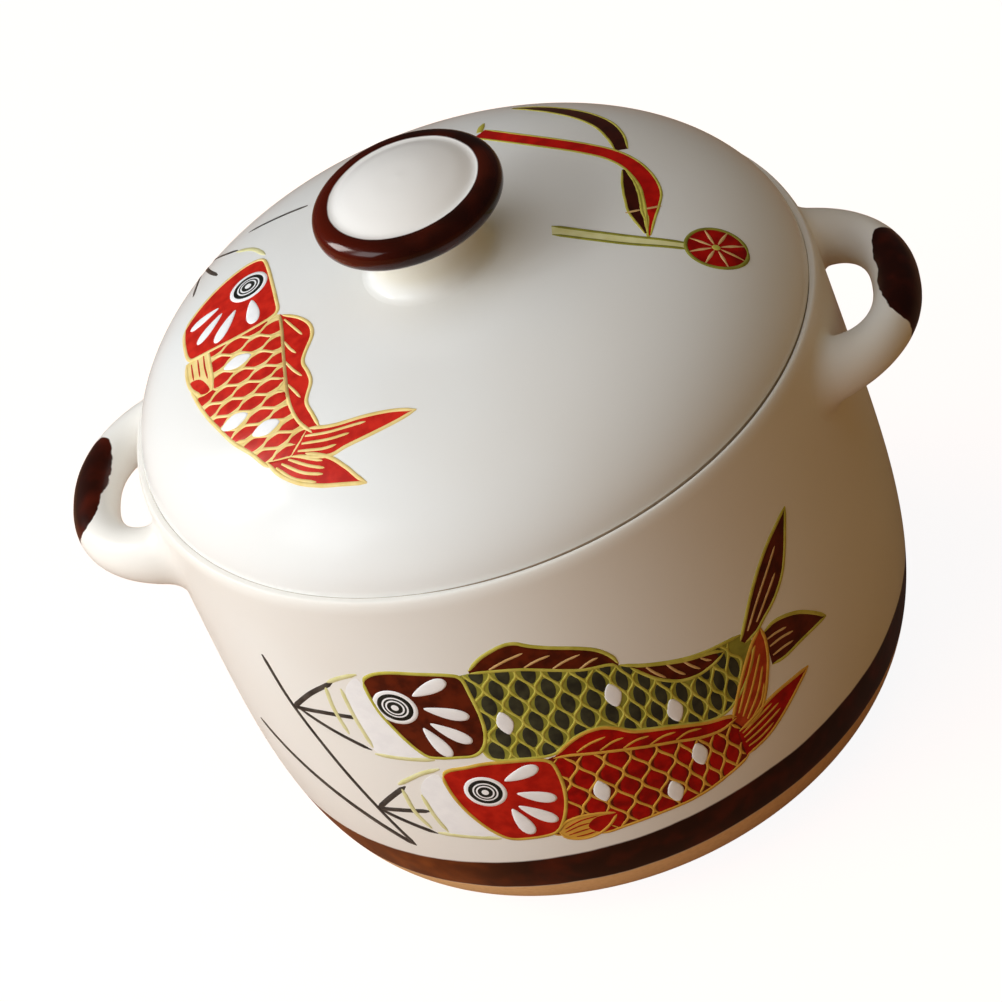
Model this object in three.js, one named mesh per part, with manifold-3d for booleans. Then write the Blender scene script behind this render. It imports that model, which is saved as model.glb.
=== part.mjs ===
// Glazed clay pot with two loop handles and a domed, knobbed lid.
// Millimetres, +Z up. The origin lies on the table under the pot's axis, and the handles lie along X.

import * as THREE from 'three';
import { mergeVertices } from 'three/addons/utils/BufferGeometryUtils.js';
import Module from 'manifold-3d';

const wasm = await Module();
wasm.setup();

// Pot wall and floor
const bellyRadius = 100.4; // widest ring of the wall, outside
const bellyDrop = 48; // that ring below the land that carries the lid
const baseRadius = 70; // flat of the underside, where the wall starts to rise
const shoulderPower = 3; // 2 is an ellipse, more turns the wall up more squarely
const wallThickness = 6;
const floorThickness = 6;

// Rim: a flat land that carries the lid, inside a low rounded lip
const seatHeight = 138; // the land above the table
const rimRadius = 100; // outside of the lip
const lipWidth = 2.5;
const lipHeight = 2.2; // lip above the land
const lipRound = 2; // rounding of the lip's outer edge
const rimThickness = 7.5; // lip and land together
const rimSwell = 22; // height over which the wall thickens inwards to the mouth

// Foot ring
const footHeight = 4;
const footInset = 2; // ring inside the edge of the flat underside
const footWidth = 7;
const footTaper = 1; // draft on each side of the ring

// Loop handles
const handleDrop = 15.5; // centre of the loop below the land
const handleHalfSpan = 29.5; // half the distance between the two roots
const handleReach = 26.2; // loop's centreline beyond the line between its roots
const handleRadius = 6.7; // round section at the grip
const handleFlare = 3; // extra radius of the section at the roots
const handleRootDepth = 4; // how far the loop is drawn into the wall before it is trimmed

// Lid
const lidClearance = 0.5; // between the lid's edge and the lip
const seatGap = 0.3; // between the lid's flange and the land
const lidEdge = 2; // upright edge of the lid
const domeRise = 34; // dome above that edge
const domePower = 3; // flatness of the dome's middle
const domeRound = 1.7; // fullness of the dome's shoulder
const lidThickness = 6;
const collarClearance = 1; // between the collar and the mouth
const collarThickness = 4.5;
const collarDepth = 8;

// Knob
const stemFootRadius = 16.4;
const stemWaistRadius = 15;
const stemTopRadius = 16.6;
const stemHeight = 15.6;
const capRadius = 27; // widest ring of the cap
const capUnderWidth = 7; // overhang from the flat underside to the widest ring
const capUnder = 5.6; // underside to widest ring
const capRimWidth = 5.6; // widest ring in to the edge of the pale top face
const capShoulder = 5.6; // widest ring up to that edge
const capCrown = 2; // top face's rise in its middle

// Clearance of pieces that are trimmed to the wall
const trimGap = 0.3;

// Facets
const turns = 60; // around the axis
const wallSteps = 9;
const domeSteps = 9;
const loopSteps = 26;
const sectionSides = 14;
const weld = 1e-4; // corners closer than this are one

// Places that follow from the sizes above
const bellyHeight = seatHeight - bellyDrop;
const floorTop = footHeight + floorThickness;
const lipInnerRadius = rimRadius - lipWidth;
const lipTop = seatHeight + lipHeight;
const lipFillet = Math.min(lipRound, 0.9 * lipWidth, 0.9 * lipHeight);
const lipStart = lipTop - lipFillet;
const mouthRadius = rimRadius - rimThickness;
const throatBottom = seatHeight - collarDepth - collarClearance;
const footRadius = baseRadius - footInset;
const handleHeight = seatHeight - handleDrop;
const lidRadius = lipInnerRadius - lidClearance;
const lidUnder = seatHeight + seatGap;
const lidEdgeTop = lidUnder + lidEdge;
const collarRadius = mouthRadius - collarClearance;
const hollowRadius = collarRadius - collarThickness;
const knobSeat = lidEdgeTop + dome(stemFootRadius, lidRadius, domeRise);
const capBottom = knobSeat + stemHeight;

const glaze = { color: 0xe9e2d4, roughness: 0.18, metalness: 0 };
const brownGlaze = { color: 0x3a1a10, roughness: 0.2, metalness: 0 };
const bareClay = { color: 0xb59a7c, roughness: 0.85, metalness: 0 };

const pot = new THREE.Group();

function point(radius, height) {
  return new THREE.Vector2(radius, height);
}

// A body of revolution from a profile of radius and height, listed up the outside and back down the inside.
function turned(profile) {
  const geometry = new THREE.LatheGeometry(profile, turns);
  geometry.rotateX(Math.PI / 2);
  return geometry;
}

function addPiece(name, geometry, finish) {
  const mesh = new THREE.Mesh(geometry, new THREE.MeshStandardMaterial(finish));
  mesh.name = name;
  pot.add(mesh);
}

// Quarter superellipse, 0 to 1 while share runs from 0 to 1, upright where it ends.
function shoulder(share) {
  return Math.pow(1 - Math.pow(1 - share, shoulderPower), 1 / shoulderPower);
}

// Points up a wall from a flat base to the belly, closer together where the wall turns.
function risingWall(lowRadius, lowHeight, highRadius) {
  const points = [];
  for (let i = 0; i <= wallSteps; i += 1) {
    const share = Math.pow(i / wallSteps, 2);
    const radius = lowRadius + (highRadius - lowRadius) * shoulder(share);
    points.push(point(radius, lowHeight + (bellyHeight - lowHeight) * share));
  }
  return points;
}

// Outside radius of the wall between the belly and the lip.
function upperRadius(height) {
  const share = (height - bellyHeight) / (lipStart - bellyHeight);
  return bellyRadius + (rimRadius - bellyRadius) * share * share;
}

// The pot's outside from its flat underside to the top of the lip, moved out by a clearance.
function outsideProfile(clearance) {
  const points = risingWall(baseRadius, footHeight, bellyRadius);
  for (const height of [(bellyHeight + lipStart) / 2, lipStart]) {
    points.push(point(upperRadius(height), height));
  }
  for (const degrees of [30, 60, 90]) {
    const angle = THREE.MathUtils.degToRad(degrees);
    const radius = rimRadius - lipFillet * (1 - Math.cos(angle));
    points.push(point(radius, lipStart + lipFillet * Math.sin(angle)));
  }
  for (const place of points) {
    place.x += clearance;
  }
  return points;
}

// The pot's inside from the land down an upright throat and the wall to the floor.
function insideProfile() {
  const points = risingWall(baseRadius - wallThickness, floorTop, bellyRadius - wallThickness);
  for (const share of [0, 0.25, 0.5, 0.75, 1]) {
    const ease = (1 - Math.cos(Math.PI * share)) / 2;
    const height = throatBottom - rimSwell * (1 - share);
    const inner = upperRadius(height) - wallThickness;
    points.push(point(inner + (mouthRadius - inner) * ease, height));
  }
  points.push(point(mouthRadius, seatHeight));
  return points.reverse();
}

function potBody() {
  return turned([
    point(0, footHeight),
    ...outsideProfile(0),
    point(lipInnerRadius, lipTop),
    point(lipInnerRadius, seatHeight),
    ...insideProfile(),
    point(0, floorTop),
  ]);
}

function footRing() {
  const inner = footRadius - footWidth;
  return turned([
    point(inner + footTaper, 0),
    point(footRadius - footTaper, 0),
    point(footRadius, footHeight),
    point(inner, footHeight),
    point(inner + footTaper, 0),
  ]);
}

// A closed mesh as a solid: shared corners merged, slivers of no area left out.
function solidFrom(geometry) {
  const bare = geometry.clone();
  bare.deleteAttribute('normal');
  bare.deleteAttribute('uv');
  const merged = mergeVertices(bare, weld);
  const index = merged.index.array;
  const triangles = [];
  for (let i = 0; i < index.length; i += 3) {
    const [a, b, c] = [index[i], index[i + 1], index[i + 2]];
    if (a !== b && b !== c && c !== a) {
      triangles.push(a, b, c);
    }
  }
  return new wasm.Manifold(new wasm.Mesh({
    numProp: 3,
    vertProperties: new Float32Array(merged.attributes.position.array),
    triVerts: new Uint32Array(triangles),
  }));
}

function geometryFrom(solid) {
  const mesh = solid.getMesh();
  const geometry = new THREE.BufferGeometry();
  geometry.setAttribute('position', new THREE.BufferAttribute(mesh.vertProperties, 3));
  geometry.setIndex(new THREE.BufferAttribute(mesh.triVerts, 1));
  geometry.computeVertexNormals();
  return geometry;
}

// A half-ellipse loop on the +X side, thicker towards its two roots.
function handleLoop() {
  const rootRadius = upperRadius(handleHeight) - handleRootDepth;
  const rootX = Math.sqrt(rootRadius * rootRadius - handleHalfSpan * handleHalfSpan);
  const corners = [];
  const faces = [];
  for (let i = 0; i <= loopSteps; i += 1) {
    const angle = (Math.PI * i) / loopSteps;
    const centre = new THREE.Vector3(
      rootX + handleReach * Math.sin(angle),
      -handleHalfSpan * Math.cos(angle),
      handleHeight,
    );
    const outward = new THREE.Vector3(
      handleHalfSpan * Math.sin(angle),
      -handleReach * Math.cos(angle),
      0,
    ).normalize();
    const radius = handleRadius + handleFlare * Math.pow(1 - Math.sin(angle), 2);
    for (let k = 0; k < sectionSides; k += 1) {
      const turn = (2 * Math.PI * k) / sectionSides;
      const corner = centre.clone().addScaledVector(outward, radius * Math.cos(turn));
      corner.z += radius * Math.sin(turn);
      corners.push(corner.x, corner.y, corner.z);
      if (i < loopSteps) {
        const here = i * sectionSides + k;
        const next = i * sectionSides + ((k + 1) % sectionSides);
        faces.push(here, here + sectionSides, next);
        faces.push(next, here + sectionSides, next + sectionSides);
      }
    }
  }
  const last = loopSteps * sectionSides;
  for (let k = 1; k < sectionSides - 1; k += 1) {
    faces.push(0, k, k + 1);
    faces.push(last, last + k + 1, last + k);
  }
  const geometry = new THREE.BufferGeometry();
  geometry.setAttribute('position', new THREE.Float32BufferAttribute(corners, 3));
  geometry.setIndex(faces);
  return geometry;
}

// The loop trimmed to the outside of the wall.
function handle() {
  const outside = turned([point(0, footHeight), ...outsideProfile(trimGap), point(0, lipTop)]);
  return geometryFrom(solidFrom(handleLoop()).subtract(solidFrom(outside)));
}

// Height of a dome of the lid over its rim, at a radius inside an edge.
function dome(radius, edge, rise) {
  return rise * Math.pow(1 - Math.pow(radius / edge, domePower), 1 / domeRound);
}

// Radii from a dome's edge in to an inner radius, closer together at the steep edge.
function domeRadii(edge, inner) {
  const radii = [];
  for (let i = 0; i <= domeSteps; i += 1) {
    radii.push(inner + (edge - inner) * Math.cos((Math.PI / 2) * (i / domeSteps)));
  }
  radii[domeSteps] = inner;
  return radii;
}

function lidDome() {
  const hollowRise = domeRise + lidEdge - lidThickness;
  const top = domeRadii(lidRadius, stemFootRadius);
  const under = domeRadii(hollowRadius, 0).reverse();
  return turned([
    ...under.map((radius) => point(radius, lidUnder + dome(radius, hollowRadius, hollowRise))),
    point(lidRadius, lidUnder),
    ...top.map((radius) => point(radius, lidEdgeTop + dome(radius, lidRadius, domeRise))),
    point(0, knobSeat),
  ]);
}

function lidCollar() {
  const foot = lidUnder - collarDepth;
  return turned([
    point(hollowRadius, foot),
    point(collarRadius, foot),
    point(collarRadius, lidUnder),
    point(hollowRadius, lidUnder),
    point(hollowRadius, foot),
  ]);
}

function knobStem() {
  const waist = knobSeat + stemHeight / 2;
  const profile = new THREE.SplineCurve([
    point(stemFootRadius, knobSeat),
    point(stemWaistRadius, waist),
    point(stemTopRadius, capBottom),
  ]).getPoints(6);
  return turned([point(0, knobSeat), ...profile, point(0, capBottom)]);
}

function knobCap() {
  const widest = capBottom + capUnder;
  const faceEdge = widest + capShoulder;
  const faceRadius = capRadius - capRimWidth;
  const profile = [point(0, capBottom)];
  for (const degrees of [-90, -60, -30, 0, 30, 60, 90]) {
    const angle = THREE.MathUtils.degToRad(degrees);
    const width = degrees < 0 ? capUnderWidth : capRimWidth;
    const height = degrees < 0 ? capUnder : capShoulder;
    profile.push(point(capRadius - width * (1 - Math.cos(angle)), widest + height * Math.sin(angle)));
  }
  for (const share of [0.66, 0.33, 0]) {
    profile.push(point(faceRadius * share, faceEdge + capCrown * (1 - share * share)));
  }
  return turned(profile);
}

addPiece('pot_body', potBody(), glaze);
addPiece('foot_ring', footRing(), bareClay);
const rightHandle = handle();
const leftHandle = rightHandle.clone();
leftHandle.rotateZ(Math.PI);
addPiece('right_handle', rightHandle, glaze);
addPiece('left_handle', leftHandle, glaze);
addPiece('lid_dome', lidDome(), glaze);
addPiece('lid_collar', lidCollar(), glaze);
addPiece('knob_stem', knobStem(), glaze);
addPiece('knob_cap', knobCap(), brownGlaze);

export default pot;
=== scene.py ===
"""A glazed clay pot with its lid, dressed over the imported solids.

Lengths are millimetres in the part's frame: +Z up, +X through the right handle.
The painted figures are planned flat: on the wall by arc length and height, on the
lid from above. They are then laid on the glaze as thin closed shells.
"""
import math

import bpy
from mathutils import Matrix, Vector, geometry


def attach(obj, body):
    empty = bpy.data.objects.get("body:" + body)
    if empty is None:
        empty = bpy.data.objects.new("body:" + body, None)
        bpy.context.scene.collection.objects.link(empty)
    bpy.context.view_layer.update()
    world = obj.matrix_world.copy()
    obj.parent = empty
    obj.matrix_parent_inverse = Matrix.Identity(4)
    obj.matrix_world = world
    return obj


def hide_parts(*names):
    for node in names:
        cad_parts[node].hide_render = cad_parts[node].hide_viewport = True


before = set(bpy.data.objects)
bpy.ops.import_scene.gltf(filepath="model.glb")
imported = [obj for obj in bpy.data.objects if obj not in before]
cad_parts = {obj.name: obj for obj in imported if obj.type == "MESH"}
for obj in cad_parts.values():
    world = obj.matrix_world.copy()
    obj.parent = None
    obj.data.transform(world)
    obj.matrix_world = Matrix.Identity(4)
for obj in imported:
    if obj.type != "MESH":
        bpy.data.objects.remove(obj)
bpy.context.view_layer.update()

MM = 0.001
UP = Vector((0, 0, 1))
ON_AXIS = 1e-6
# Distance to either side of a place over which a slope is taken
HALF = 0.5
SEGMENTS = 384
SHARP_ANGLE = math.radians(70)
# Room left inside the solids for the painted relief
RELIEF = 0.3

# Pot
BELLY_RADIUS = 100.4 - RELIEF
BELLY_HEIGHT = 90.0
BASE_RADIUS = 70.0
UNDERSIDE = [(0, 4.6), (30, 4.5), (56, 4.3), (64, 4.0)]
WALL = 6.0
WALL_ARC_RADIUS = 100.0
FLOOR_TOP = 10.0
FLOOR_DIPS = [(48, 0.2), (30, 0.5), (12, 0.4), (0, 0)]
RIM_RADIUS = 100.0 - RELIEF
LIP_INNER = 97.25
LIP_TOP = 140.2
LIP_EDGE = 1.15
LIP_FALL = 4.6
LIP_FOOT = LIP_TOP - LIP_FALL
SEAT_HEIGHT = 138.0
SEAT_ROUND = 1.5
MOUTH_RADIUS = 92.5
MOUTH_ROUND = 1.0
THROAT_BOTTOM = 129.0
SHOULDER_POWER = 3.0
FOOT_HEIGHT = 4.0
FOOT_OUTER = 68.0
FOOT_INNER = 61.0
FOOT_ROUND = 1.2
FOOT_TAPER = 1.6

# Groove between lip and lid: width closed and open, the side on which it opens, between which
# shares of facing that side, and the least share of its depth
SEAT_GAP = (0.04, 0.42)
SEAT_SIDE = (0.6, -0.8)
SEAT_OPENS = (0.65, 1.0)
GROOVE_LEAST = 0.2

# Throwing rings on the inside
RING_DEPTH = 0.22
RING_PITCH = 8.5
RING_FADE = 12.0
RING_SPREAD = 1.2

# Steps along the profiles
SHOULDER_STEPS = 56
RISE_STEPS = 14
THROAT_STEPS = 24
INSIDE_STEPS = 72
DOME_STEPS = 84
HOLLOW_STEPS = 60

# Handles
HANDLE_HEIGHT = 122.5
HANDLE_SPAN = 29.5
HANDLE_ROOT = 91.8
HANDLE_REACH = 25.95
HANDLE_RADIUS = 6.7
HANDLE_FLARE = 3.0
HANDLE_SQUARE = 0.88
HANDLE_SIDES = 40
HANDLE_STEPS = 64
HANDLE_NEAR = 0.01
ROOT_SEARCH = 1.2
ROOT_HALVINGS = 40
FILLET_SIZE = 3.4
FILLET_OUTSIDE = 1.3
FILLET_SKIRT = 1.4
FILLET_STEPS = 7
FILLET_SINK = 0.03
SKIRT_DEPTHS = (2.0, 0.25)

# Lid and knob
LID_RADIUS = 97.0
LID_UNDER = 138.3
LID_EDGE_TOP = 140.3
LID_ROUND = 0.7
DOME_RISE = 34.0
DOME_POWER = 3.0
DOME_ROUND = 1.7
HOLLOW_RADIUS = 87.0
HOLLOW_RISE = 30.0
COLLAR_RADIUS = 91.5
COLLAR_DEPTH = 8.0
COLLAR_ROUND = 1.4
KNOB_TOP = 203.0


def superellipse(steps, power_across, power_up):
    """Quarter superellipse from (0, 1) to (1, 0), as (across, up) pairs."""
    pairs = []
    for i in range(steps + 1):
        angle = math.pi / 2 * i / steps
        pairs.append((math.sin(angle) ** (2 / power_across), max(math.cos(angle), 0) ** (2 / power_up)))
    return pairs


def wall_radius(z):
    """Outer radius of the pot's wall at a height."""
    if z < BELLY_HEIGHT:
        drop = (BELLY_HEIGHT - z) / (BELLY_HEIGHT - FOOT_HEIGHT)
        swell = max(1 - min(drop, 1) ** SHOULDER_POWER, 0) ** (1 / SHOULDER_POWER)
        return BASE_RADIUS + (BELLY_RADIUS - BASE_RADIUS) * swell
    rise = (min(z, LIP_FOOT) - BELLY_HEIGHT) / (LIP_FOOT - BELLY_HEIGHT)
    radius = BELLY_RADIUS + (RIM_RADIUS - BELLY_RADIUS) * rise ** 2
    if z <= LIP_FOOT:
        return radius
    over = max(1 - ((z - LIP_FOOT) / LIP_FALL) ** 2, 0) ** 0.5
    return LIP_INNER + LIP_EDGE + (radius - LIP_INNER - LIP_EDGE) * over


def dome_height(radius):
    """Height of the lid's outer face at a distance from the axis."""
    inside_edge = max(1 - (min(radius, LID_RADIUS) / LID_RADIUS) ** DOME_POWER, 0)
    return LID_EDGE_TOP + DOME_RISE * inside_edge ** (1 / DOME_ROUND)


def on_wall(across, up, lift):
    """Point over the wall: arc length, height, and distance off the glaze."""
    turn = across / WALL_ARC_RADIUS
    slope = wall_radius(up + HALF) - wall_radius(up - HALF)
    radial = Vector((math.sin(turn), -math.cos(turn), 0))
    normal = (radial - UP * slope).normalized()
    return radial * wall_radius(up) + UP * up + normal * lift


def on_lid(x, y, lift):
    """Point over the lid's dome, at a place seen from above."""
    radius = math.hypot(x, y)
    slope = dome_height(radius + HALF) - dome_height(radius - HALF)
    radial = Vector((x, y, 0)) / max(radius, ON_AXIS)
    normal = (UP - radial * slope).normalized()
    return Vector((x, y, dome_height(radius))) + normal * lift


# Meshes

def make_piece(name, points, faces, body, slot, material, replaced=()):
    """Smooth mesh object from millimetre points, riding on a body."""
    mesh = bpy.data.meshes.new(name)
    mesh.from_pydata([Vector(p) * MM for p in points], [], faces)
    mesh.validate()
    mesh.shade_smooth()
    mesh.set_sharp_from_angle(angle=SHARP_ANGLE)
    mesh.materials.append(material)
    piece = bpy.data.objects.new(name, mesh)
    bpy.context.scene.collection.objects.link(piece)
    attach(piece, body)
    if replaced:
        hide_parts(*replaced)


def arc(radius, height, size, start, end, steps=6):
    """Profile points of a circle about (radius, height), angles in degrees from outward to up."""
    points = []
    for i in range(steps + 1):
        angle = math.radians(start + (end - start) * i / steps)
        points.append((radius + size * math.cos(angle), height + size * math.sin(angle)))
    return points


def joined(rings):
    """Quads from each ring of point numbers to the next."""
    quads = []
    for low, high in zip(rings, rings[1:]):
        for k in range(len(low)):
            n = (k + 1) % len(low)
            quads.append([low[k], low[n], high[n], high[k]])
    return quads


def fan(ring, hub):
    """Triangles from a ring of point numbers to one point."""
    return [[ring[k - 1], ring[k], hub] for k in range(len(ring))]


def lathe(profile):
    """Points and faces of a profile turned about Z; ends on the axis close to one point."""
    points, rings = [], []
    for radius, height in profile:
        if radius < ON_AXIS:
            rings.append([len(points)] * SEGMENTS)
            points.append((0, 0, height))
            continue
        rings.append(list(range(len(points), len(points) + SEGMENTS)))
        for k in range(SEGMENTS):
            turn = math.tau * k / SEGMENTS
            points.append((radius * math.cos(turn), radius * math.sin(turn), height))
    if profile[0][0] > ON_AXIS:
        rings.append(rings[0])
    return points, [list(dict.fromkeys(quad)) for quad in joined(rings)]


def curve(anchors, step=0.8, closed=False):
    """Smooth line through a few anchor points, sampled about every step."""
    anchors = [Vector(a) for a in anchors]
    count = len(anchors)
    points = []
    for i in range(count if closed else count - 1):
        a, b = anchors[i], anchors[(i + 1) % count]
        before = anchors[(i - 1) % count] if closed or i else a * 2 - b
        after = anchors[(i + 2) % count] if closed or i + 2 < count else b * 2 - a
        pieces = max(2, round((b - a).length / step))
        for j in range(pieces):
            t = j / pieces
            points.append(0.5 * (2 * a + (b - before) * t + (2 * before - 5 * a + 4 * b - after) * t ** 2
                                 + (3 * a - 3 * b + after - before) * t ** 3))
    if not closed:
        points.append(anchors[-1])
    return points


def finger_ring(z):
    """Shallow throwing rings left by the potter's fingers on the inside."""
    fade = min(1, max(0, (THROAT_BOTTOM - z) / RING_FADE))
    return RING_DEPTH * math.sin(math.tau * z / RING_PITCH) * fade


def pot_profile():
    """Pot body from under its floor, up the outside, over the lip and down the inside."""
    points = list(UNDERSIDE)
    for across, up in superellipse(SHOULDER_STEPS, SHOULDER_POWER, SHOULDER_POWER):
        points.append((BASE_RADIUS + (BELLY_RADIUS - BASE_RADIUS) * across,
                       BELLY_HEIGHT - (BELLY_HEIGHT - FOOT_HEIGHT) * up))
    heights = [BELLY_HEIGHT + (LIP_FOOT - BELLY_HEIGHT) * i / RISE_STEPS for i in range(1, RISE_STEPS)]
    heights += [LIP_FOOT + LIP_FALL * up for _, up in reversed(superellipse(RISE_STEPS, 2.0, 2.0))]
    points += [(wall_radius(z), z) for z in heights]
    points += arc(LIP_INNER + LIP_EDGE, LIP_TOP - LIP_EDGE, LIP_EDGE, 102, 180, 7)
    points += arc(LIP_INNER - SEAT_ROUND, SEAT_HEIGHT + SEAT_ROUND, SEAT_ROUND, 0, -90)
    points += arc(MOUTH_RADIUS + MOUTH_ROUND, SEAT_HEIGHT - MOUTH_ROUND, MOUTH_ROUND, 90, 180)
    inner_belly = BELLY_RADIUS - WALL
    inner_base = BASE_RADIUS - WALL
    for i in range(1, THROAT_STEPS + 1):
        z = THROAT_BOTTOM - (THROAT_BOTTOM - BELLY_HEIGHT) * i / THROAT_STEPS
        share = (z - BELLY_HEIGHT) / (THROAT_BOTTOM - BELLY_HEIGHT)
        points.append((inner_belly + (MOUTH_RADIUS - inner_belly) * share ** 2 + finger_ring(z), z))
    for across, up in reversed(superellipse(INSIDE_STEPS, SHOULDER_POWER, SHOULDER_POWER)):
        z = BELLY_HEIGHT - (BELLY_HEIGHT - FLOOR_TOP) * up
        ring = finger_ring(z) * min(1, across * RING_SPREAD)
        points.append((inner_base + (inner_belly - inner_base) * across + ring, z))
    return points + [(radius, FLOOR_TOP - dip) for radius, dip in FLOOR_DIPS]


def seat_play(points):
    """The lid lies close to the lip all round but on one side, where the groove between them opens."""
    moved = []
    for x, y, z in points:
        radius = math.hypot(x, y)
        over = radius - LIP_INNER
        if z > SEAT_HEIGHT and -SEAT_ROUND < over < LIP_EDGE:
            facing = (x * SEAT_SIDE[0] + y * SEAT_SIDE[1]) / radius
            opened = max(0.0, min(1.0, (facing - SEAT_OPENS[0]) / (SEAT_OPENS[1] - SEAT_OPENS[0])))
            inner = LID_RADIUS + SEAT_GAP[0] + (SEAT_GAP[1] - SEAT_GAP[0]) * opened
            share = min(1.0, over + SEAT_ROUND, 2 * (LIP_EDGE - over))
            target = radius + (inner - LIP_INNER) * share
            if z > LIP_TOP - LIP_EDGE and over >= 0:
                groove = GROOVE_LEAST + (1 - GROOVE_LEAST) * opened
                target = inner + (target - inner) * groove
                z = LIP_TOP - (LIP_TOP - z) * groove
            x, y = x * target / radius, y * target / radius
        moved.append((x, y, z))
    return moved


def foot_profile():
    """Trimmed foot ring, as a closed loop."""
    return (arc(FOOT_OUTER - FOOT_TAPER, FOOT_ROUND, FOOT_ROUND, -90, 0, 5)
            + [(FOOT_OUTER - 0.1, 3.0), (FOOT_OUTER + 0.6, 4.3)]
            + [(FOOT_INNER - 1.0, 4.6), (FOOT_INNER - 0.2, 3.0)]
            + arc(FOOT_INNER + FOOT_TAPER, FOOT_ROUND, FOOT_ROUND, 180, 270, 5))


def lid_profile():
    """Lid from the middle of its outer face, round the edge and back under its hollow."""
    points = [(LID_RADIUS * across, LID_EDGE_TOP + DOME_RISE * up)
              for across, up in superellipse(DOME_STEPS, DOME_POWER, DOME_ROUND)]
    points += arc(LID_RADIUS - LID_ROUND, LID_UNDER + LID_ROUND, LID_ROUND, 0, -90, 5)
    points += [(COLLAR_RADIUS, LID_UNDER), (HOLLOW_RADIUS + 1, LID_UNDER)]
    for across, up in reversed(superellipse(HOLLOW_STEPS, DOME_POWER, DOME_ROUND)):
        points.append((HOLLOW_RADIUS * across, LID_UNDER + HOLLOW_RISE * up))
    return points


def collar_profile():
    """Ring under the lid, with a worn lower edge, as a closed loop."""
    low = LID_UNDER - COLLAR_DEPTH + COLLAR_ROUND
    return ([(COLLAR_RADIUS, LID_UNDER + 0.4), (COLLAR_RADIUS, LID_UNDER - 3)]
            + arc(COLLAR_RADIUS - COLLAR_ROUND, low, COLLAR_ROUND, 0, -90)
            + arc(HOLLOW_RADIUS + COLLAR_ROUND, low, COLLAR_ROUND, -90, -180)
            + [(HOLLOW_RADIUS, LID_UNDER - 3), (HOLLOW_RADIUS - 0.5, LID_UNDER + 0.8)])


def stem_profile():
    """Knob stem with a wiped fillet where it meets the dome."""
    side = curve([(20.8, dome_height(20.8) - 0.15), (18.2, dome_height(18.2) + 0.55), (16.5, 177.0),
                  (15.2, 180.6), (15.1, 184.6), (15.8, 188.0), (17.6, 190.2)], 0.6)
    return [(0, 172.0), (12, 172.0)] + [tuple(p) for p in side] + [(12, 191.5), (0, 191.5)]


def cap_profile():
    """Knob cap: underside, rolled rim, a fine ridge round the face, and the crowned face."""
    side = curve([(16.0, 189.7), (20.0, 189.5), (23.8, 190.3), (26.3, 192.3), (27.0, 194.7), (26.5, 197.0),
                  (25.0, 198.5), (23.5, 199.05), (22.4, 199.15), (21.5, 199.08), (20.8, 198.98),
                  (19.6, 199.15), (15.0, 200.85), (8.0, 202.4), (0, KNOB_TOP)], 0.5)
    return [(0, 190.2), (10, 190.1)] + [tuple(p) for p in side[:-1]] + [(0, KNOB_TOP)]


def handle_centre(t):
    """Middle line of the right handle, a loop with slightly squared corners."""
    across = max(math.sin(t), 0.0) ** HANDLE_SQUARE
    along = math.copysign(abs(math.cos(t)) ** HANDLE_SQUARE, math.cos(t))
    return Vector((HANDLE_ROOT + HANDLE_REACH * across, -HANDLE_SPAN * along, HANDLE_HEIGHT))


def handle_point(t, around):
    """Point of the right handle's skin: t runs from root to root, around from the outer side over the top."""
    size = HANDLE_RADIUS + HANDLE_FLARE * (1 - math.sin(t)) ** 2
    ahead, behind = min(t + HANDLE_NEAR, math.pi), max(t - HANDLE_NEAR, 0.0)
    along = (handle_centre(ahead) - handle_centre(behind)).normalized()
    outward = Vector((along.y, -along.x, 0))
    return handle_centre(t) + (outward * math.cos(around) + UP * math.sin(around)) * size


def wall_crossing(around, first):
    """Parameter at which one line along the handle leaves the wall."""
    low, high = (0.0, ROOT_SEARCH) if first else (math.pi, math.pi - ROOT_SEARCH)
    for _ in range(ROOT_HALVINGS):
        t = (low + high) / 2
        p = handle_point(t, around)
        if math.hypot(p.x, p.y) < wall_radius(p.z):
            low = t
        else:
            high = t
    return (low + high) / 2


def under_wall(point, depth):
    """The place at a depth under the wall's skin, at the height of a point."""
    radial = Vector((point.x, point.y, 0)).normalized()
    return radial * (wall_radius(point.z) - depth) + UP * point.z


def root_fillet(around, first):
    """Points from inside the wall, out over the wiped fillet, and where the handle's own skin begins."""
    t = wall_crossing(around, first)
    size = FILLET_SIZE + FILLET_OUTSIDE * max(0, math.cos(around))
    begins = t + size / HANDLE_REACH * (1 if first else -1)
    hit, skin = handle_point(t, around), handle_point(begins, around)
    end = 0.0 if first else math.pi
    root = handle_point(end, 0).lerp(handle_point(end, math.pi), 0.5)
    normal = Vector((hit.x, hit.y, 0)).normalized()
    spread = hit - root
    spread = (spread - normal * spread.dot(normal)).normalized()
    foot = under_wall(hit + spread * size, FILLET_SINK)
    skirt = hit + spread * (size + FILLET_SKIRT)
    points = [under_wall(skirt, depth) for depth in SKIRT_DEPTHS]
    for i in range(FILLET_STEPS):
        u = i / FILLET_STEPS
        points.append(foot * (1 - u) ** 2 + hit * (2 * u * (1 - u)) + skin * u ** 2)
    return points, begins


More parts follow.
